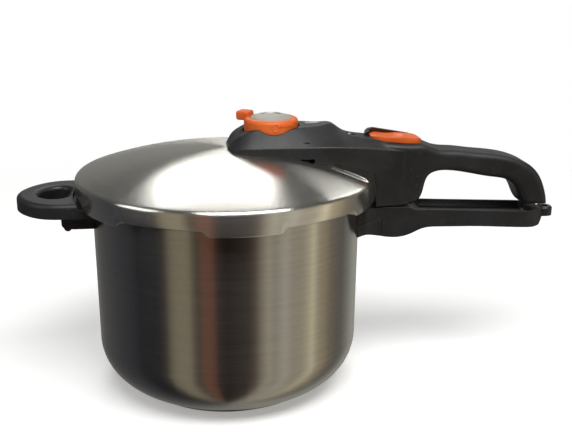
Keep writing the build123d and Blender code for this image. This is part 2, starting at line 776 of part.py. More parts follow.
def bracket_hollow(gap):
    """The space inside the pot handle's root for its bracket."""
    return block(0, tongue_end + gap, tongue_half_width + gap, tongue_bottom - gap,
                 tongue_bottom + bracket_thickness + gap)


def handle_screw_spots():
    return [(root_screw_x, 0.0), (root_screw_x + root_screw_pitch, 0.0)]


def long_handle():
    body = pot_handle_blank() - cover_block(cover_gap, cover_gap) - trough()
    body -= bracket_hollow(touch_gap)
    body -= pot_plate_zone(touch_gap)
    for x, y in handle_screw_spots():
        body -= disc(screw_radius + touch_gap, root_bottom - 5, tongue_bottom + bracket_thickness + 3, x, y)
        body -= disc(head_radius + run_gap, root_bottom - 5, cover_top, x, y)
    body -= eye_tang(touch_gap)
    return body


def screw_cover():
    body = pot_handle_blank() & cover_block(0, 0)
    inside = block(0, cover_end - cover_wall, root_half_width - cover_wall, root_bottom + cover_wall,
                   cover_top + 1)
    return body - inside - pot_plate_zone(touch_gap)


def pot_plate_zone(gap):
    """Box around the part of the welded plate that lies against the wall."""
    return block(0, plate_outer + gap, plate_half_width + gap, plate_bottom - gap, plate_top + gap)


def long_handle_bracket():
    """Plate welded to the wall with a tongue that the handle slides over."""
    bracket = (pot_plate_zone(0) + bracket_hollow(0)) - pot_envelope(touch_gap)
    for x, y in handle_screw_spots():
        bracket -= disc(screw_radius + thread_gap, tongue_bottom - 1, tongue_bottom + 5, x, y)
    return bracket


def long_handle_screws():
    screws = []
    for x, y in handle_screw_spots():
        head_top = cover_top - 0.1
        screw = disc(head_radius, head_top - head_height, head_top, x, y)
        screw += disc(screw_radius, head_top - 0.5, tongue_bottom + bracket_thickness + 2, x, y)
        screws.append(screw - Pos(x, y, head_top - head_height) * Box(1.2, 2 * head_radius, 2.4))
    return Compound(screws)


def eye_tang(gap=0.0):
    return block(rim_end[0] - tang_length - gap, rim_end[0] + 5, 4.0 + gap, eye_bottom - gap, eye_bottom + 4.0 + gap)


def hanging_eye():
    """The eye that the cooker hangs from, with the tang that holds it in the handle's end."""
    root, tip = rim_end[0] + eye_root_gap, eye_x + eye_half_width
    plan = make_face(Curve() + [
        Line((root, eye_half_width), (root, -eye_half_width)),
        Line((root, -eye_half_width), (eye_x, -eye_half_width)),
        ThreePointArc((eye_x, -eye_half_width), (tip, 0), (eye_x, eye_half_width)),
        Line((eye_x, eye_half_width), (root, eye_half_width))])
    body = extrude(Pos(0, 0, eye_bottom) * plan, eye_height)
    body = chamfer(body.edges().group_by(Axis.Z)[-1], 1.2)
    body += eye_tang()
    return body - disc(eye_bore, eye_bottom - 5, eye_bottom + eye_height + 5, eye_x) - pot_handle_nose()


def pot_handle_nose():
    """What the eye's root must leave free: the handle's rounded end around the tang."""
    nose = pot_handle_blank()
    return nose - eye_tang(0.001)


# Helper handle

def blunt_oval(plan):
    """Closed plan of the helper handle's side, mirrored about its middle, from (distance out, half width)."""
    side = [(-pot_radius - x, y) for x, y in plan]
    curve = Spline(*side, *[(x, -y) for x, y in reversed(side[:-1])], tangents=((-1, 0), (1, 0)))
    return make_face(Curve() + [curve, Line((side[0][0], -side[0][1]), side[0])])


def helper_hole():
    """The finger hole, cleared upward: its pot side follows the pot, and its corners are round."""
    hole = extrude(Pos(0, 0, helper_bottom) * blunt_oval(helper_hole_plan), helper_top - helper_bottom)
    hole -= disc(lid_sweep + helper_web, helper_bottom - 1, helper_top + 1)
    return fillet(hole.edges().group_by(Axis.Z)[1], helper_corner)


def helper_handle():
    loop = extrude(Pos(0, 0, helper_bottom) * blunt_oval(helper_plan), helper_top - helper_bottom)
    loop = fillet(loop.edges().group_by(Axis.Z)[-1].sort_by(Axis.X)[0], helper_round)
    loop -= helper_hole()
    rims = loop.edges().group_by(Axis.Z)[-1].filter_by_position(Axis.X, -pot_radius - 48, -lid_sweep)
    loop = fillet(rims, helper_round)
    root = Rot(0, 0, 180) * block(0, helper_root_end, helper_root_half_width, helper_root_bottom,
                                  helper_bottom + 2)
    corner = [e for e in root.edges().filter_by(Axis.Y) if e.center().X < 1 - helper_root_end
              and e.center().Z < helper_bottom]
    root = fillet(corner, 5.0)
    foot = Pos(4.5 - helper_root_end, 0, helper_root_bottom + 0.5) * Rot(90, 0, 0) * Cylinder(
        3.0, 2 * helper_root_half_width - 6)
    body = loop + root + foot - pot_envelope(touch_gap)
    body -= disc(lid_sweep, lug_bottom - run_gap, lid_crown)
    body -= helper_plate(touch_gap)
    body -= disc(screw_radius + touch_gap, helper_root_bottom - 5, helper_bracket_z + 6, -helper_screw_x)
    return body - disc(head_radius + run_gap, helper_root_bottom - 5, helper_bracket_z - helper_floor, -helper_screw_x)


def helper_plate(gap=0.0):
    """Welded plate and tongue of the helper handle's bracket, grown by a gap."""
    plate = block(0, plate_outer + gap, plate_half_width + gap, helper_bracket_z - 4 - gap,
                  helper_bracket_z + 8 + gap)
    tongue = block(0, helper_tongue_end + gap, tongue_half_width + gap, helper_bracket_z - gap,
                   helper_bracket_z + bracket_thickness + gap)
    return Rot(0, 0, 180) * (plate + tongue)


def helper_bracket():
    bracket = helper_plate() - pot_envelope(touch_gap)
    return bracket - disc(screw_radius + thread_gap, helper_bracket_z - 1, helper_bracket_z + 5, -helper_screw_x)


def helper_screw():
    head_top = helper_bracket_z - helper_floor - 0.1
    screw = disc(head_radius, head_top - head_height, head_top, -helper_screw_x)
    screw += disc(screw_radius, head_top - 0.5, helper_bracket_z + 5, -helper_screw_x)
    return screw - Pos(-helper_screw_x, 0, head_top - head_height) * Box(1.2, 2 * head_radius, 2.4)


def main():
    makers = [
        pot_body, base_core, base_cover, long_handle, long_handle_bracket, long_handle_screws, screw_cover,
        hanging_eye, helper_handle, helper_bracket, helper_screw, lid_shell, lid_gasket, lid_handle,
        lid_handle_screws, slider_guard, vent_pipe, vent_washer, vent_nut, vent_filter, safety_valve_body,
        safety_ball, safety_spring, safety_plug, safety_nut, regulator_ring, regulator_cap,
        regulator_spring, regulator_weight, lock_slider, lock_bolt, indicator_pin, indicator_seal,
    ]
    for maker in makers:
        export_step(maker(), f"parts/{maker.__name__}.step")


main()
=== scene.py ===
import bpy
import json
import math
from mathutils import Matrix, Vector


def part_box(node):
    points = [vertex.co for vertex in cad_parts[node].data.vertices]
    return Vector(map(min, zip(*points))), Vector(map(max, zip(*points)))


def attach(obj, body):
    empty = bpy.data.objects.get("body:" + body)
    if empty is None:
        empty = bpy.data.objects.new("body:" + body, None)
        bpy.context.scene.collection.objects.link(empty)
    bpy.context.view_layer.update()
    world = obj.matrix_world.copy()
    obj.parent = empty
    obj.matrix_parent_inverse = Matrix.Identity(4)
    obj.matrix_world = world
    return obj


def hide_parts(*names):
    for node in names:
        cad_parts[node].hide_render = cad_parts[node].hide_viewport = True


# A stovetop pressure cooker on a pale floor. Everything is in metres, +Z is up and the long handles
# point along +X.

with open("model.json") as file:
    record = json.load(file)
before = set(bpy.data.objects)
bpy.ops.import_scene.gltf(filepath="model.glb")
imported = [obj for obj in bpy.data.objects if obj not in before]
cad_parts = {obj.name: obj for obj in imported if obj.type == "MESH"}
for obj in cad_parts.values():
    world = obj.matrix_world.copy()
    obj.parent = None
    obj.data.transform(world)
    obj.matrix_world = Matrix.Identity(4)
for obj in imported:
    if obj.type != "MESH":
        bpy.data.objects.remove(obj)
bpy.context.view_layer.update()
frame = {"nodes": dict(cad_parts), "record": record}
mm = 0.001


# Node helpers

def linearColour(hexText):
    channels = [int(hexText[i:i + 2], 16) / 255 for i in (1, 3, 5)]
    linear = [c / 12.92 if c <= 0.04045 else ((c + 0.055) / 1.055) ** 2.4 for c in channels]
    return (*linear, 1.0)


def addNode(tree, kind, settings=None, inputs=None, links=None):
    node = tree.nodes.new(kind)
    for key, value in (settings or {}).items():
        setattr(node, key, value)
    for key, value in (inputs or {}).items():
        node.inputs[key].default_value = value
    for key, source in (links or {}).items():
        tree.links.new(source, node.inputs[key])
    return node


def newMaterial(name):
    material = bpy.data.materials.new(name)
    material.use_nodes = True
    tree = material.node_tree
    tree.nodes.clear()
    return material, tree


def ramp(tree, source, stops):
    node = addNode(tree, "ShaderNodeValToRGB", links={"Fac": source})
    elements = node.color_ramp.elements
    while len(elements) < len(stops):
        elements.new(0.5)
    for element, (place, colour) in zip(elements, stops):
        element.position = place
        element.color = linearColour(colour) if isinstance(colour, str) else (colour,) * 3 + (1.0,)
    return node.outputs["Color"]


def maths(tree, operation, a, b=None):
    node = addNode(tree, "ShaderNodeMath", {"operation": operation})
    for index, value in enumerate((a, b)):
        if value is None:
            continue
        if isinstance(value, (int, float)):
            node.inputs[index].default_value = value
        else:
            tree.links.new(value, node.inputs[index])
    return node.outputs[0]


def mixColour(tree, factor, a, b, blend="MIX"):
    node = addNode(tree, "ShaderNodeMix", {"data_type": "RGBA", "blend_type": blend})
    for socket, value in ((node.inputs["Factor"], factor), (node.inputs[6], a), (node.inputs[7], b)):
        if isinstance(value, (int, float, tuple)):
            socket.default_value = value
        else:
            tree.links.new(value, socket)
    return node.outputs[2]


def position(tree):
    return addNode(tree, "ShaderNodeTexCoord").outputs["Object"]


def noise(tree, vector, scale, detail=3.0, roughness=0.55):
    inputs = {"Scale": scale, "Detail": detail, "Roughness": roughness}
    return addNode(tree, "ShaderNodeTexNoise", inputs=inputs, links={"Vector": vector}).outputs["Fac"]


def spreadOver(tree, source, low, high):
    # takes the middle stretch of a noise to the range from low to high
    inputs = {"From Min": 0.3, "From Max": 0.7, "To Min": low, "To Max": high}
    return addNode(tree, "ShaderNodeMapRange", inputs=inputs, links={"Value": source}).outputs[0]


def betweenColours(tree, source, start, end, low, high):
    # runs from the low colour to the high one as the noise goes from start to end
    share = ramp(tree, source, [(start, 0.0), (end, 1.0)])
    return mixColour(tree, share, linearColour(low), linearColour(high))


def surfaceOutput(tree, kind, inputs, links):
    shader = addNode(tree, kind, inputs=inputs, links=links)
    addNode(tree, "ShaderNodeOutputMaterial", links={"Surface": shader.outputs[0]})


def ringCoordinates(tree, stretch):
    # radius, height and a little of the angle, so that a noise over it runs in circles round the axis
    parts = addNode(tree, "ShaderNodeSeparateXYZ", links={"Vector": position(tree)})
    x, y, z = parts.outputs
    squares = maths(tree, "ADD", maths(tree, "MULTIPLY", x, x), maths(tree, "MULTIPLY", y, y))
    radius = maths(tree, "SQRT", squares)
    notZero = maths(tree, "MAXIMUM", radius, 1.0 * mm)
    sine = maths(tree, "MULTIPLY", maths(tree, "DIVIDE", y, notZero), stretch)
    across = maths(tree, "ADD", radius, z)
    cosine = maths(tree, "MULTIPLY", maths(tree, "DIVIDE", x, notZero), stretch)
    return addNode(tree, "ShaderNodeCombineXYZ", links={"X": across, "Y": sine, "Z": cosine}).outputs[0]


# Materials

brushedSettings = {
    "lineScale": 2600,       # brush lines about 0.4 mm apart, coarser than real ones so that they show
    "lineStretch": 0.012,
    "lineShare": 0.55,       # how much of the tone comes from the fine lines
    "broadScale": 420,
    "broadStretch": 0.004,
    "broadShare": 0.45,
    "patchScale": 9,
    "clouding": 0.08,
    "cloudColour": "#8f8b85",
    "bump": 0.015,
    "bumpDepth": 0.05 * mm,
    "roughSpread": 0.02,     # how far the brush lines differ in roughness
}


def brushedSteel(name, low, high, roughness, anisotropy):
    # Steel brushed in circles: reflections are drawn out across the brush lines into soft streaks,
    # with fine darker lines and faint cloudy patches from handling
    material, tree = newMaterial(name)
    settings = brushedSettings
    lines = noise(tree, ringCoordinates(tree, settings["lineStretch"]), settings["lineScale"], 2.0, 0.7)
    broad = noise(tree, ringCoordinates(tree, settings["broadStretch"]), settings["broadScale"], 2.0)
    cloud = noise(tree, position(tree), settings["patchScale"], 4.0)
    tone = maths(tree, "ADD", maths(tree, "MULTIPLY", lines, settings["lineShare"]),
                 maths(tree, "MULTIPLY", broad, settings["broadShare"]))
    colour = betweenColours(tree, tone, 0.36, 0.64, low, high)
    clouding = maths(tree, "MULTIPLY", cloud, settings["clouding"])
    colour = mixColour(tree, clouding, colour, linearColour(settings["cloudColour"]))
    spread = settings["roughSpread"]
    rough = spreadOver(tree, tone, roughness - spread, roughness + spread)
    tangent = addNode(tree, "ShaderNodeTangent", {"direction_type": "RADIAL", "axis": "Z"})
    bump = addNode(tree, "ShaderNodeBump", links={"Height": lines},
                   inputs={"Strength": settings["bump"], "Distance": settings["bumpDepth"]})
    surfaceOutput(tree, "ShaderNodeBsdfPrincipled",
                  {"Metallic": 1.0, "Anisotropic": anisotropy, "Anisotropic Rotation": 0.25},
                  {"Base Color": colour, "Roughness": rough, "Tangent": tangent.outputs[0],
                   "Normal": bump.outputs[0]})
    return material


metalSettings = {
    "cloudScale": 60,
    "grainShare": 0.4,
    "cloudShare": 0.6,
    "duller": 0.12,          # how much rougher the clouds are at most
    "bump": 0.15,
    "bumpDepth": 0.05 * mm,
}


def plainMetal(name, low, high, roughness, grainScale):
    # Turned or stamped metal: a mild satin with small clouds and grain, so that it does not look cast
    # in one tone
    material, tree = newMaterial(name)
    place = position(tree)
    grain = noise(tree, place, grainScale, 3.0)
    cloud = noise(tree, place, metalSettings["cloudScale"], 3.0)
    tone = maths(tree, "ADD", maths(tree, "MULTIPLY", grain, metalSettings["grainShare"]),
                 maths(tree, "MULTIPLY", cloud, metalSettings["cloudShare"]))
    colour = betweenColours(tree, tone, 0.35, 0.65, low, high)
    rough = spreadOver(tree, tone, roughness, roughness + metalSettings["duller"])
    bump = addNode(tree, "ShaderNodeBump", links={"Height": grain},
                   inputs={"Strength": metalSettings["bump"], "Distance": metalSettings["bumpDepth"]})
    surfaceOutput(tree, "ShaderNodeBsdfPrincipled", {"Metallic": 1.0},
                  {"Base Color": colour, "Roughness": rough, "Normal": bump.outputs[0]})
    return material


plasticSettings = {
    "cloudScale": 26,
    "scuffScale": 320,
    "scuffStart": 0.58,      # above this the scuff noise shows as dust
    "scuffEnd": 0.74,
    "glossier": 0.05,
    "duller": 0.09,
    "bumpDepth": 0.08 * mm,
}


def mouldedPlastic(name, low, high, roughness, edge, grainScale, grainDepth,
                   dust="#6f6c66", dustShare=0.12):
    # Moulded plastic: a fine even grain with softened edges that catch the light, slightly duller and
    # paler in patches where hands and dust have been
    material, tree = newMaterial(name)
    settings = plasticSettings
    place = position(tree)
    grain = noise(tree, place, grainScale, 2.0)
    cloud = noise(tree, place, settings["cloudScale"], 4.0)
    scuff = noise(tree, place, settings["scuffScale"], 3.0, 0.7)
    colour = betweenColours(tree, cloud, 0.35, 0.68, low, high)
    worn = ramp(tree, scuff, [(settings["scuffStart"], 0.0), (settings["scuffEnd"], 1.0)])
    colour = mixColour(tree, maths(tree, "MULTIPLY", worn, dustShare), colour, linearColour(dust))
    rough = spreadOver(tree, cloud, roughness - settings["glossier"], roughness + settings["duller"])
    rounded = addNode(tree, "ShaderNodeBevel", {"samples": 6}, inputs={"Radius": edge * mm})
    bump = addNode(tree, "ShaderNodeBump", links={"Height": grain, "Normal": rounded.outputs[0]},
                   inputs={"Strength": grainDepth, "Distance": settings["bumpDepth"]})
    surfaceOutput(tree, "ShaderNodeBsdfPrincipled", {"IOR": 1.5},
                  {"Base Color": colour, "Roughness": rough, "Normal": bump.outputs[0]})
    return material


def siliconeRubber(name, low, high, roughness):
    # Soft rubber: even and matt with faint mottling
    return mouldedPlastic(name, low, high, roughness, 0.3, 900, 0.1, dust="#b8b5ae", dustShare=0.15)


materialMakers = {
    # bright wall of the pot, streaked up and down by its brushing
    "pot_steel": lambda: brushedSteel("pot brushed steel", "#bebbb5", "#c8c5be", 0.2, 0.9),
    # duller and darker than the wall
    "base_steel": lambda: brushedSteel("base brushed steel", "#8f8c87", "#b8b5b0", 0.34, 0.5),
    # the palest steel, its base colour raised above the pot's as a painted highlight so that the lid reads
    # whiter, with streaks that fan out from its middle
    "lid_steel": lambda: brushedSteel("lid brushed steel with painted highlight", "#dedbd4", "#e8e5dd", 0.23, 0.9),
    # soft grey-white, plainly another metal than the steel round it
    "core_aluminium": lambda: plainMetal("core aluminium", "#b9b9ba", "#d2d2d2", 0.4, 700),
    # flat pressed steel, a little darker than the pot
    "bracket_steel": lambda: plainMetal("bracket steel", "#9a9997", "#bab8b4", 0.35, 600),
    # small bright heads
    "screw_steel": lambda: plainMetal("screw steel", "#a6a5a3", "#c8c6c2", 0.22, 900),
    # cleanly turned, with fine grain
    "valve_steel": lambda: plainMetal("turned valve steel", "#a9a8a4", "#cbc9c4", 0.25, 900),
    # nearly a mirror, so that the ball reads as round
    "ball_steel": lambda: plainMetal("polished ball steel", "#bdbcb9", "#d6d5d2", 0.08, 900),
    # thin bright wire
    "spring_steel": lambda: plainMetal("spring wire", "#a3a2a0", "#c4c2bf", 0.25, 900),
    # punched sheet, satin on its faces
    "bolt_steel": lambda: plainMetal("stamped bolt steel", "#9b9a97", "#bcbab6", 0.32, 700),
    # matt pale grey that stands apart from the shiny lid
    "cap_steel": lambda: plainMetal("satin cap metal", "#b4b3ab", "#c4c3bb", 0.6, 800),
    # warm yellow of the one brass piece
    "weight_brass": lambda: plainMetal("turned brass", "#b08d4c", "#cdaa66", 0.3, 900),
    # near-black with a fine grain that greys its lit slopes
    "black_phenolic": lambda: mouldedPlastic("black phenolic plastic", "#131315", "#1f1f21", 0.46, 0.8,
                                             1400, 0.35),
    # glossy near-black whose brown tint is a painted reflection of the orange slider beside it; it catches
    # a thin line of light
    "guard_plastic": lambda: mouldedPlastic("black guard plastic with painted orange reflection", "#24120d", "#331a13", 0.2, 0.5,
                                            1200, 0.1),
    # smoother black than the handles
    "eye_plastic": lambda: mouldedPlastic("black eye plastic", "#18181a", "#242425", 0.36, 0.6,
                                          1300, 0.25),
    # strong orange of what the cook moves, with paler dusty specks
    "orange_plastic": lambda: mouldedPlastic("orange plastic", "#cf5512", "#de671f", 0.4, 0.5,
                                             1300, 0.2, dust="#e9b48f", dustShare=0.1),
    # pale grey bar that the knob is read against
    "inlay_paint": lambda: mouldedPlastic("pale inlay", "#9fa09b", "#b4b5b0", 0.45, 0.3, 1300, 0.15),
    # milky and dull
    "gasket_rubber": lambda: siliconeRubber("pale silicone", "#a7a49d", "#bab7af", 0.62),
    # dull black
    "washer_rubber": lambda: siliconeRubber("black rubber", "#1a1a1a", "#262626", 0.6),
}

print("materials")
materials = {slotName: make() for slotName, make in materialMakers.items()}
slotOf = {entry["node"]: entry["material_slot"] for entry in frame["record"]["subparts"]}
for nodeName, nodeObject in frame["nodes"].items():
    nodeObject.data.materials.clear()
    nodeObject.data.materials.append(materials[slotOf[nodeName]])


def newPiece(name, vertices, faces, material, body):
    mesh = bpy.data.meshes.new(name)
    mesh.from_pydata([tuple(v) for v in vertices], [], faces)
    mesh.update()
    mesh.polygons.foreach_set("use_smooth", [True] * len(mesh.polygons))
    piece = bpy.data.objects.new(name, mesh)
    bpy.context.scene.collection.objects.link(piece)
    mesh.materials.append(material)
    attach(piece, body)
    return piece


def smoothStep(low, high, value):
    t = min(max((value - low) / (high - low), 0.0), 1.0)
    return t * t * (3 - 2 * t)


# Lid: the pressed sheet with its bayonet lugs, and the raised pad that the handle stands on

lidSettings = {
    "wall": 1.2 * mm,
    "domeDrop": 21.03 * mm,     # from the crown down to the shoulder
    "shoulder": 4.0 * mm,
    "lugCount": 6,
    "lugAngle": 27.0,
    "lugPhase": 33.0,
    "lugDrop": 4.5 * mm,
    "lugReach": 8.3 * mm,
    "stepLength": 6.0 * mm,     # how long the S-shaped step into a lug is
    "padRise": 1.4 * mm,
    "padAngle": 25.0,           # half of the pad's width, in degrees about the handle
    "padStart": 84 * mm,
    "padEdge": 2.5 * mm,
    "padCurve": 0.012 * mm,     # how the pad's start bows, by the square of the angle
    "padEnd": (7 * mm, 2 * mm), # where it fades out, inward from the rim
    "fold": 1.0 * mm,           # round of the skirt's lower edge
}


def lugShare(angle, radius):
    step = 360.0 / lidSettings["lugCount"]
    away = abs((angle - lidSettings["lugPhase"] + step / 2) % step - step / 2)
    half = math.degrees(lidSettings["stepLength"] / radius) / 2
    return 1.0 - smoothStep(lidSettings["lugAngle"] / 2 - half, lidSettings["lugAngle"] / 2 + half, away)


def padLift(angle, radius, rim):
    away = abs((angle + 180) % 360 - 180)
    edge = math.degrees(lidSettings["padEdge"] / max(radius, 10 * mm))
    side = 1.0 - smoothStep(lidSettings["padAngle"] - edge, lidSettings["padAngle"] + edge, away)
    start = lidSettings["padStart"] + lidSettings["padCurve"] * away * away
    inward = smoothStep(start - lidSettings["padEdge"], start + lidSettings["padEdge"], radius)
    endStart, endStop = lidSettings["padEnd"]
    outward = 1.0 - smoothStep(rim - endStart, rim - endStop, radius)
    return lidSettings["padRise"] * side * inward * outward


def lidSection(angle, rim, crown, skirtBottom):
    # outline of the sheet at one angle, as (radius, height): dome, shoulder, skirt, lug and back inside
    wall, shoulder, fold = lidSettings["wall"], lidSettings["shoulder"], lidSettings["fold"]
    drop = lidSettings["domeDrop"]
    dome = (rim ** 2 + drop ** 2) / (2 * drop)
    centreZ = crown - dome
    corner = math.sqrt((dome - shoulder) ** 2 - (rim - shoulder) ** 2)
    cornerZ = centreZ + corner
    reach = (rim - shoulder) * dome / (dome - shoulder)
    outside = [reach * i / 44 for i in range(1, 45)]
    points = [(r, centreZ + math.sqrt(dome ** 2 - r ** 2) + padLift(angle, r, rim)) for r in outside]
    start = math.atan2(corner, rim - shoulder)
    points += [(rim - shoulder + shoulder * math.cos(start * (1 - i / 8)),
                cornerZ + shoulder * math.sin(start * (1 - i / 8))) for i in range(1, 9)]
    share = lugShare(angle, rim)
    low = skirtBottom - lidSettings["lugDrop"] * share
    points += [(rim, skirtBottom + 6 * mm), (rim, low + fold)]
    quarter = [math.pi / 2 * i / 4 for i in range(1, 5)]
    points += [(rim - fold + fold * math.cos(turn), low + fold - fold * math.sin(turn)) for turn in quarter]
    inner = rim - wall
    lip = inner - lidSettings["lugReach"] * share
    points += [(lip + 0.2 * mm, low), (lip, low + 0.3 * mm), (lip, low + wall - 0.3 * mm),
               (lip + 0.2 * mm, low + wall), (inner - 0.4 * mm * share, low + wall),
               (inner, low + wall + 0.4 * mm)]
    insideShoulder = shoulder - wall
    points += [(rim - shoulder + insideShoulder * math.cos(start * i / 5),
                cornerZ + insideShoulder * math.sin(start * i / 5)) for i in range(0, 6)]
    inside = [(rim - shoulder) * (1 - i / 16) for i in range(1, 16)]
    points += [(r, centreZ + math.sqrt((dome - wall) ** 2 - r ** 2)) for r in inside]
    return points


def buildLid():
    low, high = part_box("lid_shell")
    rim = (high.x - low.x) / 2
    skirtBottom = low.z + lidSettings["lugDrop"]
    steps = 720
    vertices = [(0, 0, high.z), (0, 0, high.z - lidSettings["wall"])]
    faces = []
    count = 0
    for step in range(steps):
        angle = 360.0 * step / steps
        turn = math.radians(angle)
        section = lidSection(angle, rim, high.z, skirtBottom)
        count = len(section)
        vertices += [(r * math.cos(turn), r * math.sin(turn), z) for r, z in section]
    for step in range(steps):
        here, there = 2 + step * count, 2 + (step + 1) % steps * count
        faces.append((0, here, there))
        faces += [(here + i, here + i + 1, there + i + 1, there + i) for i in range(count - 1)]
        faces.append((1, there + count - 1, here + count - 1))
    lid = newPiece("lid_pressing", vertices, faces, materials["lid_steel"], "lid")
    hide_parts("lid_shell")
    return lid


print("lid")
lid = buildLid()


# Marks: a row of short ribs and a plain ring moulded on the knob's side, and a pale inlaid bar behind it

markSettings = {
    "ribCount": 7,
    "ribStart": -80.0,          # degrees round the knob
    "ribStep": 5.4,
    "ribWidth": 1.1 * mm,
    "ribHeight": 2.6 * mm,
    "ribRoot": 0.5 * mm,        # how deep a rib starts inside the knob
    "ribRise": 0.7 * mm,
    "ribLift": 0.25,            # how far the ribs look upward
    "ribBelow": 1.2 * mm,       # under the cap's lower edge
    "ringAngle": -86.0,
    "ringRadius": 3.2 * mm,
    "ringSquash": 0.9,          # its height over its width
    "ringTube": 0.5 * mm,
    "ringFlat": 0.8,            # how far the tube stands out, as a share of its radius
    "ringBelow": 2.6 * mm,
}
barSettings = {
    "length": 13.0 * mm,
    "width": 1.9 * mm,
    "root": 1.2 * mm,
    "height": 0.6 * mm,
    "across": 4.4 * mm,         # the bar lies a little towards the far side
    "behind": 29.0 * mm,        # from the knob's middle to the bar's start
    "restsBeside": 2 * mm,      # its height is read off the hub this far beside the groove
}


def strips(levels, count, closed=False):
    # faces between one round of points and the next, and back to the first where it is closed
    faces = []
    for level in range(levels if closed else levels - 1):
        here, there = level * count, (level + 1) % levels * count
        for i in range(count):
            j = (i + 1) % count
            faces.append((here + i, here + j, there + j, there + i))
    return faces


def caps(levels, count):
    top = (levels - 1) * count
    return [tuple(top + i for i in range(count)), tuple(count - 1 - i for i in range(count))]


def rib(middle, out):
    # a small rounded block that stands out from its middle and narrows to its face
    side = out.cross(Vector((0, 0, 1))).normalized()
    up = side.cross(out).normalized()
    rise, count = markSettings["ribRise"], 12
    vertices = []
    for depth, share in ((-markSettings["ribRoot"], 1.0), (rise * 0.5, 1.0), (rise, 0.55)):
        for i in range(count):
            turn = 2 * math.pi * i / count
            across, along = (math.copysign(abs(c) ** 0.5, c) for c in (math.cos(turn), math.sin(turn)))
            vertices.append(middle + out * depth + side * markSettings["ribWidth"] / 2 * share * across
                            + up * markSettings["ribHeight"] / 2 * share * along)
    return vertices, strips(3, count) + caps(3, count)


def buildRibs(centre, radius, capBottom):
    vertices, faces = [], []
    for i in range(markSettings["ribCount"]):
        turn = math.radians(markSettings["ribStart"] + markSettings["ribStep"] * i)
        flat = Vector((math.cos(turn), math.sin(turn), 0))
        out = (flat + Vector((0, 0, markSettings["ribLift"]))).normalized()
        middle = centre + flat * radius + Vector((0, 0, capBottom - markSettings["ribBelow"]))
        more, moreFaces = rib(middle, out)
        faces += [tuple(corner + len(vertices) for corner in face) for face in moreFaces]
        vertices += more
    orange = materials["orange_plastic"]
    return newPiece("knob_ribs", vertices, faces, orange, "regulator")


def buildCircle(centre, knobRadius, capBottom):
    # a thin moulded ring wrapped on the knob's round side
    turn = math.radians(markSettings["ringAngle"])
    out = Vector((math.cos(turn), math.sin(turn), 0))
    side = Vector((0, 0, 1)).cross(out)
    axis = centre + Vector((0, 0, capBottom - markSettings["ringBelow"]))
    radius, tube = markSettings["ringRadius"], markSettings["ringTube"]
    rounds, count = 40, 8
    vertices = []
    for i in range(rounds):
        turn = 2 * math.pi * i / rounds
        bend = radius * math.cos(turn) / knobRadius
        away = out * math.cos(bend) + side * math.sin(bend)
        lift = Vector((0, 0, radius * markSettings["ringSquash"] * math.sin(turn)))
        radial = (side * math.cos(turn) + Vector((0, 0, math.sin(turn)))).normalized()
        for j in range(count):
            t = 2 * math.pi * j / count
            outward = away * tube * markSettings["ringFlat"] * math.cos(t)
            vertices.append(axis + away * knobRadius + lift + outward + radial * tube * math.sin(t))
    faces = strips(rounds, count, closed=True)
    orange = materials["orange_plastic"]
    return newPiece("knob_circle", vertices, faces, orange, "regulator")


def buildBar(capMiddle):
    length, width, height = barSettings["length"], barSettings["width"], barSettings["height"]
    middle = capMiddle + barSettings["behind"] + length / 2
    surface = surfaceHeight("lid_handle", middle, barSettings["across"] + barSettings["restsBeside"])
    vertices = []
    count = 28
    for lift, share in ((-barSettings["root"], 1.0), (height * 0.5, 1.0), (height, 0.7)):
        for i in range(count):
            turn = 2 * math.pi * i / count
            across = width / 2 * share * math.sin(turn)
            straight = math.copysign(length / 2 - width / 2, math.cos(turn))
            along = straight + width / 2 * share * math.cos(turn)
            vertices.append(Vector((middle + along, barSettings["across"] + across, surface + lift)))
    faces = strips(3, count) + caps(3, count)
    return newPiece("pointer_inlay", vertices, faces, materials["inlay_paint"], "lid")


def surfaceHeight(node, x, y):
    # height of a CAD node's upper surface at a place, by a ray from well above it
    thing = frame["nodes"][node]
    inverse = thing.matrix_world.inverted()
    down = (inverse.to_3x3() @ Vector((0, 0, -1))).normalized()
    hit, place, _, _ = thing.ray_cast(inverse @ Vector((x, y, 1.0)), down)
    return (thing.matrix_world @ place).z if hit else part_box(node)[1].z


def buildMarks():
    knobLow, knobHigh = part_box("regulator_ring")
    capLow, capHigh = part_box("regulator_cap")
    centre = Vector(((capLow.x + capHigh.x) / 2, (capLow.y + capHigh.y) / 2, 0))
    radius = (knobHigh.y - knobLow.y) / 2
    buildRibs(centre, radius, capLow.z)
    buildCircle(centre, radius, capLow.z)
    buildBar(centre.x)


print("marks")
buildMarks()

# Camera, floor and light

cameraSettings = {
    "place": Vector((-39.35, -725.21, 363.52)) * mm,
    "right": Vector((0.99261, -0.12115, 0.00682)),
    "up": Vector((0.02895, 0.29104, 0.95627)),
    "lens": 55.75,              # millimetres on a sensor 36 mm wide
    "sensor": 36.0,
    "nearest": 0.01,
    "farthest": 50.0,
}


def buildCamera():
    data = bpy.data.cameras.new("camera")
    data.lens = cameraSettings["lens"]
    data.sensor_width = cameraSettings["sensor"]
    data.clip_start = cameraSettings["nearest"]
    data.clip_end = cameraSettings["farthest"]
    camera = bpy.data.objects.new("camera", data)
    bpy.context.scene.collection.objects.link(camera)
    right = cameraSettings["right"].normalized()
    back = right.cross(cameraSettings["up"]).normalized()
    up = back.cross(right)
    matrix = Matrix((right, up, back)).transposed().to_4x4()
    matrix.translation = cameraSettings["place"]
    camera.matrix_world = matrix
    bpy.context.scene.camera = camera
    return camera


floorSettings = {
    "size": 8.0,
    "colour": "#ececeb",
    "mottle": "#e9e9e8",
    "mottleScale": 6,
    "glow": 0.30,
    "fadeStart": 0.45,      # from here outwards the floor turns into the white background
    "fadeEnd": 0.95,
}


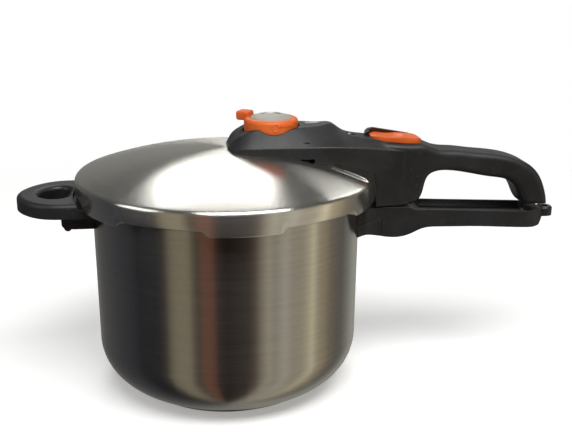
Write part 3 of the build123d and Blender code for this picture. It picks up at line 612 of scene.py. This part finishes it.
def buildFloor():
    # Pale board: faintly mottled, matt, and fading into the white background
    material, tree = newMaterial("pale floor")
    path = addNode(tree, "ShaderNodeLightPath")
    place = position(tree)
    mottle = noise(tree, place, floorSettings["mottleScale"], 3.0)
    colour = mixColour(tree, mottle, linearColour(floorSettings["mottle"]),
                       linearColour(floorSettings["colour"]))
    matte = addNode(tree, "ShaderNodeBsdfDiffuse", links={"Color": colour})
    seenGlow = maths(tree, "MULTIPLY", path.outputs["Is Camera Ray"], floorSettings["glow"])
    glow = addNode(tree, "ShaderNodeEmission", inputs={"Color": (1, 1, 1, 1)},
                   links={"Strength": seenGlow})
    both = addNode(tree, "ShaderNodeAddShader", links={0: matte.outputs[0], 1: glow.outputs[0]})
    distance = addNode(tree, "ShaderNodeVectorMath", {"operation": "LENGTH"}, links={0: place})
    fade = addNode(tree, "ShaderNodeMapRange", {"interpolation_type": "SMOOTHSTEP"},
                   inputs={"From Min": floorSettings["fadeStart"], "From Max": floorSettings["fadeEnd"]},
                   links={"Value": distance.outputs["Value"]})
    white = addNode(tree, "ShaderNodeEmission", inputs={"Color": (1, 1, 1, 1), "Strength": 1.0})
    faded = addNode(tree, "ShaderNodeMixShader",
                    links={0: maths(tree, "MULTIPLY", fade.outputs[0], path.outputs["Is Camera Ray"]),
                           1: both.outputs[0], 2: white.outputs[0]})
    # mirrored rays pass through, so that the steel shows the room and not a blank floor
    clear = addNode(tree, "ShaderNodeBsdfTransparent")
    surfaceOutput(tree, "ShaderNodeMixShader", {}, {0: path.outputs["Is Glossy Ray"],
                                                    1: faded.outputs[0], 2: clear.outputs[0]})
    half = floorSettings["size"] / 2
    mesh = bpy.data.meshes.new("floor")
    corners = [(-half, -half, 0), (half, -half, 0), (half, half, 0), (-half, half, 0)]
    mesh.from_pydata(corners, [], [(0, 1, 2, 3)])
    floor = bpy.data.objects.new("floor", mesh)
    mesh.materials.append(material)
    bpy.context.scene.collection.objects.link(floor)
    return floor


# The soft light and dark screens that the steel mirrors, as (degrees round from the camera's side
# towards the long handle, tone)
screens = [
    (-180, "#8c8c88"), (-146, "#606060"), (-115, "#4c4c50"), (-92, "#383840"), (-86, "#242428"),
    (-66, "#242428"), (-58, "#44403c"), (-53, "#847c6c"), (-49, "#908878"), (-37, "#948c78"),
    (-32, "#645c50"), (-28, "#544c44"), (-24, "#785444"), (-16, "#704c40"), (-12, "#342c28"),
    (-4, "#241c1c"), (14, "#3c3430"), (20, "#584c44"), (26, "#948c7c"), (32, "#b4b0a0"),
    (37, "#9c988c"), (47, "#c0bcb0"), (54, "#aca498"), (63, "#aca494"), (70, "#c4bca4"),
    (75, "#f0e8cc"), (80, "#b4a894"), (90, "#a49880"), (96, "#847c70"), (114, "#686864"),
    (140, "#a8a8a0"), (180, "#8c8c88"),
]
worldSettings = {
    "overhead": (0.10, 0.10, 0.098, 1.0),
    "overheadStart": 0.30,      # how steeply upward the screens give way to the ceiling
    "overheadEnd": 0.62,
}


def buildWorld():
    world = bpy.data.worlds.new("studio")
    bpy.context.scene.world = world
    world.use_nodes = True
    tree = world.node_tree
    tree.nodes.clear()
    path = addNode(tree, "ShaderNodeLightPath")
    direction = addNode(tree, "ShaderNodeSeparateXYZ",
                        links={"Vector": addNode(tree, "ShaderNodeTexCoord").outputs["Generated"]})
    nearer = maths(tree, "MULTIPLY", direction.outputs["Y"], -1.0)
    turn = maths(tree, "ARCTAN2", direction.outputs["X"], nearer)
    share = maths(tree, "ADD", maths(tree, "DIVIDE", turn, 2 * math.pi), 0.5)
    tones = ramp(tree, share, [(degree / 360 + 0.5, tone) for degree, tone in screens])
    soft = addNode(tree, "ShaderNodeMapRange",
                   inputs={"From Min": worldSettings["overheadStart"],
                           "From Max": worldSettings["overheadEnd"]},
                   links={"Value": direction.outputs["Z"]})
    overhead = mixColour(tree, soft.outputs[0], tones, worldSettings["overhead"])
    plain = mixColour(tree, path.outputs["Is Camera Ray"], overhead, (1.0, 1.0, 1.0, 1.0))
    background = addNode(tree, "ShaderNodeBackground", inputs={"Strength": 1.0}, links={"Color": plain})
    addNode(tree, "ShaderNodeOutputWorld", links={"Surface": background.outputs[0]})


lampSettings = {
    # name: (place, width, height, watts)
    "key": ((0.24, -0.9, 1.7), 1.6, 0.8, 35),
    "fill": ((-1.7, -0.5, 1.1), 1.0, 1.0, 7),
    # the rear lamps stand apart, and the lid mirrors them as a bright wedge and two streaks
    "rear": ((0.0, 1.6, 1.5), 0.8, 0.6, 8),
    "rearStrip": ((1.05, 1.4, 1.4), 0.12, 0.6, 1.6),
    "rearEdge": ((1.4, 1.05, 1.3), 0.1, 0.6, 1.2),
}
lampTarget = Vector((0, 0, 0.15))


def buildLamps():
    for name, (place, width, height, power) in lampSettings.items():
        data = bpy.data.lights.new(name, "AREA")
        data.shape = "RECTANGLE"
        data.size = width
        data.size_y = height
        data.energy = power
        lamp = bpy.data.objects.new(name, data)
        bpy.context.scene.collection.objects.link(lamp)
        lamp.location = place
        lamp.rotation_mode = "QUATERNION"
        lamp.rotation_quaternion = (lampTarget - Vector(place)).to_track_quat("-Z", "Y")


print("camera, floor and light")
buildCamera()
buildFloor()
buildWorld()
buildLamps()
bpy.context.scene.view_settings.view_transform = "Standard"
